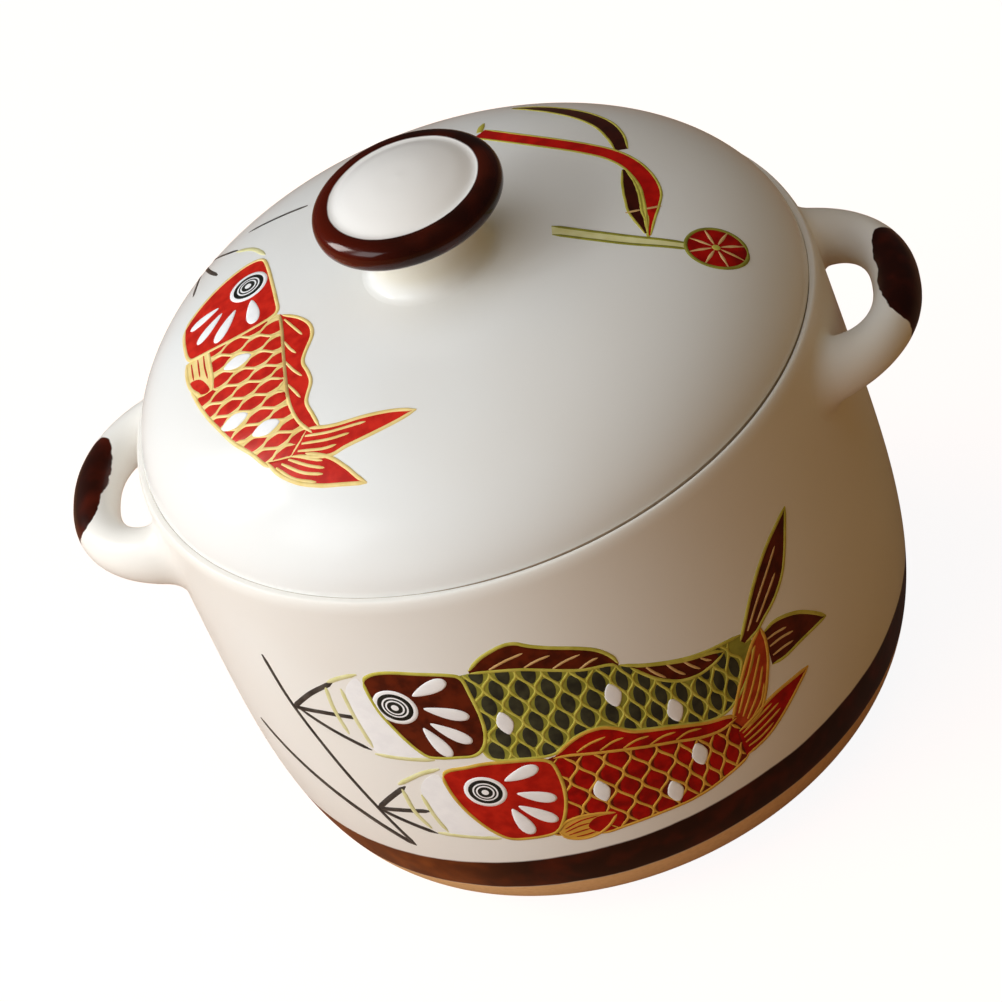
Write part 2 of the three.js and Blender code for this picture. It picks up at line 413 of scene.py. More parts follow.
def handle_mesh(side):
    """Loop handle on one side, as one closed skin with both roots wiped into the wall."""
    columns = []
    for k in range(HANDLE_SIDES):
        around = math.tau * k / HANDLE_SIDES
        start, first = root_fillet(around, True)
        end, last = root_fillet(around, False)
        places = [first + (last - first) * i / HANDLE_STEPS for i in range(HANDLE_STEPS + 1)]
        columns.append(start + [handle_point(t, around) for t in places] + end[::-1])
    length = len(columns[0])
    points = [Vector((p.x * side, p.y, p.z)) for column in columns for p in column]
    faces = []
    for k in range(HANDLE_SIDES):
        n = (k + 1) % HANDLE_SIDES
        for i in range(length - 1):
            quad = [k * length + i, k * length + i + 1, n * length + i + 1, n * length + i]
            faces.append(quad if side > 0 else quad[::-1])
    for end, turned in ((0, side > 0), (length - 1, side < 0)):
        ring = range(end, HANDLE_SIDES * length, length)
        points.append(sum((points[i] for i in ring), Vector()) / HANDLE_SIDES)
        faces += fan(ring if turned else ring[::-1], len(points) - 1)
    return points, faces


# Materials

def srgb(red, green, blue):
    """Linear colour from 0 to 255 screen values."""
    linear = [((v / 255 + 0.055) / 1.055) ** 2.4 if v > 10 else v / 255 / 12.92 for v in (red, green, blue)]
    return (*linear, 1)


# Two tones of each glaze and clay, as screen values
CREAM = ((245, 244, 239), (242, 239, 232))
LID_CREAM = ((240, 242, 241), (238, 238, 235))
# The stem's cream, darker and warmer as painted shade under the knob's cap
STEM_SHADED_CREAM = ((228, 226, 215), (224, 220, 207))
# The knob's cream, lighter than the others as painted light on its upturned face
KNOB_LIT_CREAM = ((250, 249, 247), (248, 246, 242))
BROWN = ((40, 9, 3), (74, 20, 6))
# The band's brown on its left side, lighter and redder as painted light where the lamps strike
BROWN_PAINTED_LIGHT = ((98, 42, 11), (134, 66, 20))
KNOB_BROWN = ((34, 8, 3), (66, 18, 5))
CLAY = ((226, 174, 116), (252, 208, 150))
# The lid's bare edge: clay greyed and darkened, partly painted shade in the groove under the lip
BARE_RIM_AND_SHADE = ((160, 142, 122), (196, 178, 156))
# The knob rim's red on its lit left side, painted light
KNOB_LIT_RED = srgb(84, 18, 3)
SPECK = srgb(150, 132, 112)

# Specks in the cream glaze: spacing, the share of cells without one, size in a cell, strength
SPECK_SPACING = 13
SPECK_CHOSEN = (0.90, 0.91)
SPECK_SIZE = (0.02, 0.045)
SPECK_STRENGTH = 0.25

# Sizes of noise: drift of the cream, uneven gloss, grain of pot and lid, grit of foot and collar
DRIFT_SIZE = 55
GLOSS_SIZE = 14
GRAIN_SIZE = 1.6
GRIT_SIZE = 1.4

# Finishes: least and greatest roughness, size and depth of the ripple, shine
POT_FINISH = (0.29, 0.36, 9, 0.03, 0.15)
LID_FINISH = (0.17, 0.23, 9, 0.03, 0.22)
HANDLE_FINISH = (0.285, 0.34, 9, 0.03, 0.22)
KNOB_FINISH = (0.10, 0.17, 7, 0.03, 0.3)
CLAY_FINISH = (0.65, 0.85, 0.9, 0.12, 0.2)
PAINT_FINISH = (0.29, 0.36, 1.5, 0.04, 0.15)

# Brown band on the pot, and the line that parts the wall's outside from its inside
BAND_LOW = 21.0
BAND_HIGH = 35.5
BAND_WOBBLE = 2.4
# Span of X over which the band's brown turns lighter towards the lit left side, as painted light
BAND_PAINTED_LIGHT = (-58.0, -18.0)
WALL_MIDDLE = 82.0
WALL_LEAN = 0.469
UNDER_FLOOR = 8.5

# Where the lid is wiped bare, where painted shade darkens the stem's cream, and the knob's brown rim
# The lid's edge below this height is bare, and its grey-brown is also painted shade in the groove
LID_BARE_AND_SHADED = 140.15
HOLLOW_GLAZE = 86.0
STEM_SHADE_HEIGHTS = (174.6, 180.0)
FACE_RADIUS = 21.35
RIM_LOWER = 191.9
# Span of X over which the knob's rim is painted redder, as painted light on its lit left side
LIT_RIM_SPAN = (-26, 6)

# Brown patches on the handles: squareness, the loop's outermost place, raggedness of the edge
PATCH_POWER = 4.0
PATCH_OUTER = 124.7
PATCH_RAGGED = 1.2
# Each patch: middle, half length, depth, widening along the patch, slant of its ends
RIGHT_PATCH = (-2.0, 20.8, 11.0, 0.0, -0.22)
LEFT_PATCH = (1.8, 19.8, 11.8, 0.22, 0.0)

# Share of the bright surroundings that shows in the glaze
REFLECTED_SHARE = 0.03


class Nodes:
    """A node tree, with short calls for its nodes."""

    def __init__(self, tree):
        self.tree = tree

    def put(self, socket, value):
        """Feeds an input from another node, or sets its value."""
        if isinstance(value, bpy.types.NodeSocket):
            self.tree.links.new(value, socket)
        else:
            socket.default_value = value

    def node(self, kind, **inputs):
        """New node; underscores stand for the spaces in the names of its inputs."""
        made = self.tree.nodes.new(kind)
        for name, value in inputs.items():
            self.put(made.inputs[name.replace("_", " ")], value)
        return made

    def math(self, operation, first, second=0.0):
        made = self.node("ShaderNodeMath")
        made.operation = operation
        self.put(made.inputs[0], first)
        self.put(made.inputs[1], second)
        return made.outputs[0]

    def mix(self, factor, first, second):
        """Colour between two others."""
        made = self.node("ShaderNodeMix")
        made.data_type = "RGBA"
        self.put(made.inputs["Factor"], factor)
        self.put(made.inputs[6], first)
        self.put(made.inputs[7], second)
        return made.outputs[2]

    def seen_directly(self):
        """1 for what the camera or a glass sees, less for a reflection, 0 for light that bounces."""
        rays = self.node("ShaderNodeLightPath").outputs
        mirrored = self.math("MULTIPLY", rays["Is Glossy Ray"], REFLECTED_SHARE)
        seen = self.math("MAXIMUM", rays["Is Camera Ray"], mirrored)
        return self.math("MAXIMUM", seen, rays["Is Transmission Ray"])


class Shade(Nodes):
    """One material's nodes. Sizes and levels are millimetres, and the sockets hold metres."""

    def __init__(self, name):
        self.material = bpy.data.materials.new(name)
        self.material.use_nodes = True
        super().__init__(self.material.node_tree)
        self.bsdf = self.tree.nodes["Principled BSDF"]
        self.where = self.node("ShaderNodeTexCoord").outputs["Object"]

    def noise(self, size, detail):
        """Noise from 0 to 1 with features of about this size."""
        made = self.node("ShaderNodeTexNoise", Vector=self.where, Scale=1 / (size * MM), Detail=detail)
        return made.outputs["Fac"]

    def wobble(self, size, detail, swing):
        """Noise about zero, with this swing from end to end."""
        return self.math("MULTIPLY", self.math("SUBTRACT", self.noise(size, detail), 0.5), swing)

    def step(self, value, low, high, out_low=0.0, out_high=1.0):
        """Smooth change of a value from one level to another."""
        made = self.node("ShaderNodeMapRange", Value=value, From_Min=low, From_Max=high,
                         To_Min=out_low, To_Max=out_high)
        made.interpolation_type = "SMOOTHSTEP"
        return made.outputs[0]

    def over(self, length, level, soft):
        """1 where a length is over a level and 0 where it is under, with a soft edge."""
        return self.step(length, (level - soft) * MM, (level + soft) * MM)

    def under(self, length, level, soft):
        """1 where a length is under a level and 0 where it is over, with a soft edge."""
        return self.step(length, (level - soft) * MM, (level + soft) * MM, 1.0, 0.0)

    def tones(self, factor, pair):
        """Colour between two screen colours."""
        return self.mix(factor, *[srgb(*tone) for tone in pair])

    def axis(self, name):
        return self.node("ShaderNodeSeparateXYZ", Vector=self.where).outputs[name]

    def radius(self):
        squares = [self.math("POWER", self.axis(name), 2.0) for name in "XY"]
        return self.math("SQRT", self.math("ADD", *squares))

    def cream(self, pair=CREAM):
        """Cream glaze: slow drift of tone and sparse iron specks."""
        colour = self.tones(self.step(self.noise(DRIFT_SIZE, 1), 0.30, 0.70), pair)
        cells = self.node("ShaderNodeTexVoronoi", Vector=self.where, Scale=1 / (SPECK_SPACING * MM))
        draw = self.node("ShaderNodeSeparateXYZ", Vector=cells.outputs["Color"]).outputs["X"]
        dot = self.step(cells.outputs["Distance"], *SPECK_SIZE, 1.0, 0.0)
        speck = self.math("MULTIPLY", dot, self.step(draw, *SPECK_CHOSEN))
        return self.mix(self.math("MULTIPLY", speck, SPECK_STRENGTH), colour, SPECK)

    def brown(self, pair=BROWN, size=9):
        """Iron brown glaze that breaks to red where it lies thin."""
        return self.tones(self.step(self.noise(size, 2), 0.40, 0.75), pair)

    def gloss(self, colour, smooth, rough, ripple, depth, shine):
        """Colour, uneven gloss and a faint ripple for the surface."""
        self.put(self.bsdf.inputs["Base Color"], colour)
        self.put(self.bsdf.inputs["Roughness"], self.step(self.noise(GLOSS_SIZE, 3), 0.3, 0.7, smooth, rough))
        bump = self.node("ShaderNodeBump", Height=self.noise(ripple, 4), Strength=0.5, Distance=depth * MM)
        self.put(self.bsdf.inputs["Normal"], bump.outputs["Normal"])
        self.bsdf.inputs["Specular IOR Level"].default_value = shine
        return self.material


def wall_or_foot(shade, height):
    """1 on the outside of the wall's lower part and under the pot, 0 on its inside."""
    rise = shade.math("SUBTRACT", height, FLOOR_TOP * MM)
    middle = shade.math("ADD", shade.math("MULTIPLY", rise, WALL_LEAN), WALL_MIDDLE * MM)
    beyond = shade.over(shade.math("SUBTRACT", shade.radius(), middle), 0, 0.5)
    return shade.math("MAXIMUM", beyond, shade.under(height, UNDER_FLOOR, 0.5))


def pot_glaze():
    """Cream glaze with a brown band, painted lighter on its lit left side, and bare clay below the band."""
    shade = Shade("pot_glaze")
    height = shade.axis("Z")
    level = shade.math("ADD", height, shade.wobble(30, 3, BAND_WOBBLE * MM))
    wall = wall_or_foot(shade, height)
    band = shade.math("MULTIPLY", shade.over(level, BAND_LOW, 0.5), shade.under(level, BAND_HIGH, 0.4))
    # Painted light: the band's brown turns lighter and redder towards the lit left side
    left = shade.step(shade.axis("X"), BAND_PAINTED_LIGHT[0] * MM, BAND_PAINTED_LIGHT[1] * MM, 1.0, 0.0)
    brown = shade.mix(left, shade.brown(), shade.brown(BROWN_PAINTED_LIGHT))
    colour = shade.mix(shade.math("MULTIPLY", band, wall), shade.cream(), brown)
    below = shade.math("MULTIPLY", wall, shade.under(level, BAND_LOW, 0.4))
    grain = shade.tones(shade.noise(GRAIN_SIZE, 6), CLAY)
    return shade.gloss(shade.mix(below, colour, grain), *POT_FINISH)


def stem_glaze():
    """The lid's cream glaze, darker and warmer up the knob's stem as painted shade under the cap."""
    shade = Shade("stem_glaze")
    # Painted shade: the cream darkens and warms up the stem, under the knob's cap
    up = shade.step(shade.axis("Z"), STEM_SHADE_HEIGHTS[0] * MM, STEM_SHADE_HEIGHTS[1] * MM)
    colour = shade.mix(up, shade.cream(LID_CREAM), shade.cream(STEM_SHADED_CREAM))
    return shade.gloss(colour, *LID_FINISH)


def lid_glaze():
    """Cream glaze, wiped off the lid's edge and rim where it sits on the pot; the bare part's grey is partly
    painted shade.
    """
    shade = Shade("lid_glaze")
    # The bare edge's grey-brown tone is partly painted shade for the groove under the lip
    low = shade.under(shade.axis("Z"), LID_BARE_AND_SHADED, 0.1)
    wiped = shade.math("MULTIPLY", low, shade.over(shade.radius(), HOLLOW_GLAZE, 0.5))
    grain = shade.tones(shade.noise(GRAIN_SIZE, 6), BARE_RIM_AND_SHADE)
    return shade.gloss(shade.mix(wiped, shade.cream(LID_CREAM), grain), *LID_FINISH)


def bare_clay(name):
    """Matt fired clay with grit."""
    shade = Shade(name)
    return shade.gloss(shade.tones(shade.noise(GRIT_SIZE, 6), CLAY), *CLAY_FINISH)


def handle_glaze(name, middle, half, depth, lean, slant):
    """Cream glaze with a brushed brown patch round the outside of the loop."""
    shade = Shade(name)
    reach = shade.math("ABSOLUTE", shade.axis("X"))
    ends = shade.math("MULTIPLY", shade.math("SUBTRACT", reach, PATCH_OUTER * MM), slant)
    along = shade.math("SUBTRACT", shade.math("SUBTRACT", shade.axis("Y"), middle * MM), ends)
    along = shade.math("DIVIDE", along, half * MM)
    widening = shade.math("ADD", shade.math("MULTIPLY", along, lean), 1.0)
    inward = shade.math("SUBTRACT", PATCH_OUTER * MM, reach)
    inward = shade.math("DIVIDE", inward, shade.math("MULTIPLY", widening, depth * MM))
    powers = [shade.math("POWER", shade.math("ABSOLUTE", v), PATCH_POWER) for v in (inward, along)]
    spread = shade.math("ADD", shade.math("ADD", *powers), shade.wobble(7, 2, PATCH_RAGGED))
    patch = shade.step(spread, 0.94, 1.06, 1.0, 0.0)
    return shade.gloss(shade.mix(patch, shade.cream(), shade.brown()), *HANDLE_FINISH)


def knob_glaze():
    """Brown glaze on the knob cap's rim, painted redder on its lit left side; cream, painted lighter, on face
    and underside.
    """
    shade = Shade("knob_glaze")
    wobble = shade.wobble(9, 2, 0.5 * MM)
    beyond = shade.over(shade.math("ADD", shade.radius(), wobble), FACE_RADIUS, 0.25)
    above = shade.over(shade.math("ADD", shade.axis("Z"), wobble), RIM_LOWER, 0.2)
    # Painted light: the rim's brown turns redder towards its lit left side
    left = shade.step(shade.axis("X"), LIT_RIM_SPAN[0] * MM, LIT_RIM_SPAN[1] * MM, 0.85, 0.0)
    brown = shade.mix(left, shade.brown(KNOB_BROWN, 16), KNOB_LIT_RED)
    rim = shade.math("MULTIPLY", beyond, above)
    # The face and underside take the lighter knob cream, painted light
    return shade.gloss(shade.mix(rim, shade.cream(KNOB_LIT_CREAM), brown), *KNOB_FINISH)


# Two tones of each paint
PAINTS = {
    "slip": ((206, 198, 92), (184, 176, 66)),
    # Straw is the slip painted paler, as painted light where the lid is brightest
    "straw": ((245, 222, 154), (236, 207, 126)),
    "amber": ((227, 174, 74), (210, 158, 60)),
    "gold": ((214, 178, 78), (194, 156, 58)),
    "pale": ((230, 226, 176), (218, 214, 152)),
    "reed": ((232, 230, 176), (222, 218, 150)),
    "ray": ((226, 190, 134), (208, 166, 102)),
    "moss": ((158, 156, 62), (132, 130, 50)),
    "olive": ((66, 66, 48), (42, 42, 34)),
    "brown": ((100, 33, 12), (66, 18, 7)),
    "umber": ((70, 21, 10), (46, 12, 7)),
    "maroon": ((122, 34, 12), (98, 18, 8)),
    "rust": ((192, 76, 34), (164, 48, 20)),
    "scarlet": ((208, 24, 14), (172, 12, 8)),
    # Crimson is the red darkened as painted shade for the wall's red carp; the lid's wheel also uses it
    "crimson": ((184, 16, 10), (134, 5, 6)),
    "red": ((214, 42, 27), (184, 24, 16)),
    "cherry": ((198, 35, 20), (168, 20, 12)),
    "white": ((253, 254, 255), (246, 247, 249)),
    "black": ((26, 28, 25), (38, 40, 36)),
    "ink": ((48, 44, 42), (84, 78, 72)),
}


def paint(name):
    """Fired colour with brushed variation under the clear glaze."""
    shade = Shade("paint_" + name)
    return shade.gloss(shade.tones(shade.step(shade.noise(4, 4), 0.3, 0.72), PAINTS[name]), *PAINT_FINISH)


paints = {name: paint(name) for name in PAINTS}


# Painted figures

# How deep shells reach into the glaze, spacing of their points, points in a line's taper
SINK = 0.25
FILL_STEP = 1.6
LEAST_STEP = 0.05
TAPER_POINTS = 3
# Corners of round dots, and of petals and scales
ROUND_SIDES = 36
PETAL_SIDES = 28
# Scales: roundness, least share on free ground, white dabs, and the net of lines
CELL_POWER = 1.75
CELL_LEAST = 0.22
DAB_HALF = (2.4, 4.5)
DAB_POWER = 1.5
NET_HEIGHT = 0.15
NET_STEP = 0.5
NET_STEPS = 68
NET_ROWS = 3
# How high fills lie off the glaze
LIPS_LIFT, SKIN_LIFT, FIN_LIFT, FACE_LIFT, TIP_LIFT = 0.03, 0.04, 0.08, 0.09, 0.11
# Base and swelling of raised dots
PETAL_RISE = (0.12, 0.22)
DAB_RISE = (0.13, 0.14)
SCALE_RISE = (0.06, 0.06)
# Width, height and, where it isn't the usual one, taper of slip lines
EDGE_LINE = (1.3, 0.2)
OUTLINE = (1.4, 0.2)
RAY_LINE = (1.05, 0.17, (0.7, 0.2))
TIPPED_LINE = (0.7, 0.17, (0.7, 0.2))
MOUTH_LINE = (1.9, 0.1)
# A half-round line in section: places across its width, and heights, none at its sunk foot
LINE_SECTION = ((-0.5, None), (-0.36, 0.72), (0.0, 1.0), (0.36, 0.72), (0.5, None))
# A swelling in section: share of its outline, and share of its height
BLOB_LEVELS = ((0.97, 0.0), (0.85, 0.45), (0.6, 0.82), (0.3, 0.96))
# Rings of an eye from the outside in, as shares of its size, and their steps in height
EYE_RINGS = ((1.0, "white"), (0.80, "black"), (0.60, "white"), (0.52, "black"), (0.43, "white"),
             (0.35, "black"), (0.17, "white"))
EYE_BASE, EYE_STEP, EYE_SWELL = 0.13, 0.03, 0.03


def ring_points(count, radius):
    """Points round the origin."""
    turns = [math.tau * k / count for k in range(count)]
    return [Vector((math.cos(turn), math.sin(turn))) * radius for turn in turns]


def inside(point, outline):
    """True where a flat point lies within a closed outline."""
    hit = False
    for a, b in zip(outline, outline[1:] + outline[:1]):
        if (a.y > point.y) != (b.y > point.y) and point.x < a.x + (b.x - a.x) * (point.y - a.y) / (b.y - a.y):
            hit = not hit
    return hit


def runs(path, free):
    """The parts of a path that run over free ground."""
    part = []
    for point in path:
        if free(point):
            part.append(point)
        elif part:
            yield part
            part = []
    if part:
        yield part


class Figure:
    """Slip and colour laid on one surface, gathered into one mesh for each paint."""

    def __init__(self, name, body, slot, place):
        self.name, self.body, self.slot, self.place = name, body, slot, place
        self.shells = {}

    def shell(self, colour):
        return self.shells.setdefault(colour, ([], []))

    def fill(self, colour, outline, lift):
        """Thin closed patch of colour within an outline."""
        points, faces = self.shell(colour)
        edge = [p for i, p in enumerate(outline) if (p - outline[i - 1]).length > LEAST_STEP]
        low = Vector((min(p.x for p in edge), min(p.y for p in edge)))
        high = Vector((max(p.x for p in edge), max(p.y for p in edge)))
        flat = list(edge)
        for i in range(int((high.x - low.x) / FILL_STEP) + 1):
            for j in range(int((high.y - low.y) / FILL_STEP) + 1):
                spot = low + Vector((i, j)) * FILL_STEP
                if inside(spot, edge) and min((spot - p).length for p in edge) > FILL_STEP * 0.6:
                    flat.append(spot)
        made, _, cells, *_ = geometry.delaunay_2d_cdt(flat, [], [list(range(len(edge)))], 1, 1e-4)
        first, count = len(points), len(made)
        for level in (lift, -SINK):
            points += [self.place(p.x, p.y, level) for p in made]
        rims = {}
        for cell in cells:
            faces.append([first + i for i in cell])
            faces.append([first + count + i for i in reversed(cell)])
            for a, b in zip(cell, cell[1:] + cell[:1]):
                rims[(a, b)] = True
        for a, b in rims:
            if (b, a) not in rims:
                faces.append([first + b, first + a, first + count + a, first + count + b])

    def trail(self, colour, path, width, height, taper=(0.4, 0.4)):
        """Half-round line of slip along a path, narrowing at its ends."""
        path = [p for i, p in enumerate(path) if i == 0 or (p - path[i - 1]).length > LEAST_STEP]
        if len(path) < 3:
            return
        points, faces = self.shell(colour)
        sides, last, first = len(LINE_SECTION), len(path) - 1, len(points)
        for i, spot in enumerate(path):
            along = (path[min(i + 1, last)] - path[max(i - 1, 0)]).normalized()
            across = Vector((-along.y, along.x))
            size = min(1, taper[0] + i / TAPER_POINTS * (1 - taper[0]),
                       taper[1] + (last - i) / TAPER_POINTS * (1 - taper[1]))
            for offset, level in LINE_SECTION:
                spread = spot + across * (offset * width * size)
                lift = -SINK if level is None else level * height * size
                points.append(self.place(spread.x, spread.y, lift))
        rings = [range(start, start + sides) for start in range(first, len(points), sides)]
        faces += joined(rings) + [rings[0][::-1], rings[-1]]

    def blob(self, colour, centre, outline, base, height):
        """Low closed swelling of colour over an outline given round its centre."""
        points, faces = self.shell(colour)
        first, count = len(points), len(outline)
        levels = [(1.0, -SINK)] + [(share, base + height * rise) for share, rise in BLOB_LEVELS]
        for share, lift in levels:
            points += [self.place(centre.x + p.x * share, centre.y + p.y * share, lift) for p in outline]
        rings = [range(start, start + count) for start in range(first, len(points), count)]
        crown = len(points)
        points += [self.place(centre.x, centre.y, lift) for lift in (base + height, -SINK)]
        faces += joined(rings) + fan(rings[-1], crown) + fan(rings[0][::-1], crown + 1)

    def petal(self, start, end, width):
        """White teardrop, narrow at its start."""
        start, end = Vector(start), Vector(end)
        along = (end - start) / 2
        across = Vector((-along.y, along.x)).normalized() * width / 2
        outline = []
        for k in range(PETAL_SIDES):
            angle = math.tau * k / PETAL_SIDES
            swell = 0.78 + 0.34 * math.cos(angle)
            outline.append(along * math.cos(angle) + across * math.sin(angle) * swell)
        self.blob("white", (start + end) / 2, outline, *PETAL_RISE)

    def disc(self, colour, centre, radius, base, height):
        """Round dot of colour."""
        self.blob(colour, Vector(centre), ring_points(ROUND_SIDES, radius), base, height)

    def eye(self, centre, size):
        """Ring eye of a streamer carp: white and black rings by turns."""
        for i, (share, colour) in enumerate(EYE_RINGS):
            self.disc(colour, centre, size * share, EYE_BASE + EYE_STEP * i, EYE_SWELL)

    def finish(self):
        """Turns the gathered shells into pieces."""
        for colour, (points, faces) in self.shells.items():
            make_piece(f"{self.name}_{colour}", points, faces, self.body, self.slot, paints[colour])


def spine_height(spine, at):
    """Height of a carp's middle line at a place along it."""
    for a, b in zip(spine, spine[1:]):
        if at <= b[0]:
            return a[1] + (b[1] - a[1]) * (at - a[0]) / (b[0] - a[0])
    return spine[-1][1]


def net_lines(plan):
    """Lines of a scale net, each a function from a height off the spine to a flat point."""
    at, before, lines = plan["scales_from"], None, []
    for k, pitch in enumerate(plan["pitches"]):
        at += 0 if before is None else (before + pitch) / 2
        before = pitch

        def line(v, at=at, swing=pitch / 2 * (1 if k % 2 == 0 else -1)):
            along = at + swing * math.cos(math.tau * v / plan["tall"])
            return Vector((along, spine_height(plan["spine"], along) + v))
        lines.append(line)
    return lines


def lens(half_wide, half_tall, power=CELL_POWER):
    """Upright rounded lens about the origin."""
    loop = []
    for k in range(PETAL_SIDES):
        angle = math.tau * k / PETAL_SIDES
        across, up = math.cos(angle), math.sin(angle)
        loop.append(Vector((math.copysign(abs(across) ** (2 / power), across) * half_wide,
                            math.copysign(abs(up) ** (2 / power), up) * half_tall)))
    return loop


def scale_cell(middle, loop, free):
    """One scale kept to free ground: its centre and the outline round it, or nothing."""
    spread = [middle + p * share for p in loop for share in (0.2, 0.5, 0.8)]
    held = [p for p in spread if free(p)]
    if len(held) < CELL_LEAST * len(spread):
        return None
    centre = sum(held, Vector((0, 0))) / len(held)
    kept = []
    for p in loop:
        reach, way = 1.0, middle + p - centre
        while reach > 0.05 and not free(centre + way * min(1, reach * 1.12)):
            reach -= 0.05
        kept.append(way * reach)
    return centre, kept


def scales(figure, plan, free):
    """Scales of a carp: slip lines that touch in turn, with a swelling of colour in each cell."""
    lines, tall = net_lines(plan), plan["tall"]
    heights = [NET_STEP * i for i in range(-NET_STEPS, NET_STEPS + 1)]
    for line in lines:
        for part in runs([line(v) for v in heights], free):
            figure.trail(plan["line"], part, plan["net"], NET_HEIGHT)
    wide, high = plan["cell"]
    cells = []
    for k, (left, right) in enumerate(zip(lines, lines[1:])):
        for row in range(-NET_ROWS, NET_ROWS + 1):
            v = (row + 0.5 * (k % 2 == 0)) * tall
            half = abs(right(v).x - left(v).x) / 2
            made = scale_cell((left(v) + right(v)) / 2, lens(half * wide, tall / 2 * high), free)
            if made:
                cells.append(made)
    for spot in plan["white"]:
        dab = Vector(spot)
        cells.remove(min(cells, key=lambda cell: (cell[0] - dab).length))
        figure.blob("white", dab, lens(*DAB_HALF, DAB_POWER), *DAB_RISE)
    for centre, loop in cells:
        figure.blob(plan["scale"], centre, loop, *SCALE_RISE)


def carp(figure, plan):
    """One streamer carp from its plan of listed points."""
    fin, edge = plan["fin"], plan["edge"]
    back, belly = curve(plan["back"]), curve(plan["belly"])
    body, head = back + belly, curve(plan["head"], closed=True)
    fins = [(shape, curve(shape["outer"]), curve(shape["inner"])) for shape in plan["fins"]]
    covers = [outer + inner[::-1] for _, outer, inner in fins] + [head]

    def uncovered(p):
        return not any(inside(p, cover) for cover in covers)

    if "lips" in plan:
        figure.fill("white", curve(plan["lips"], closed=True), LIPS_LIFT)
    figure.fill(plan["skin"], body, SKIN_LIFT)
    scales(figure, plan, lambda p: inside(p, body) and uncovered(p))
    for side in (back, belly):
        for part in runs(side, uncovered):
            figure.trail(edge, part, *EDGE_LINE)
    for (shape, outer, inner), cover in zip(fins, covers):
        tipped = "tip" in shape
        figure.fill(plan["line"] if tipped else shape.get("colour", fin), cover, FIN_LIFT)
        if tipped:
            figure.fill(fin, curve(shape["tip"], closed=True), TIP_LIFT)
        figure.trail(edge, outer, *OUTLINE)
        figure.trail(edge, inner, *EDGE_LINE)
        for ray in shape["rays"]:
            figure.trail(fin if tipped else plan["ray"], curve(ray), *(TIPPED_LINE if tipped else RAY_LINE))
    figure.fill(plan["face"], head, FACE_LIFT)
    figure.trail(plan["head_edge"], head + head[:2], *OUTLINE)
    figure.eye(*plan["eye"])
    for start, end, width in plan["petals"]:
        figure.petal(start, end, width)
    for path in plan["mouth"]:
        figure.trail("pale", curve(path), *MOUTH_LINE)


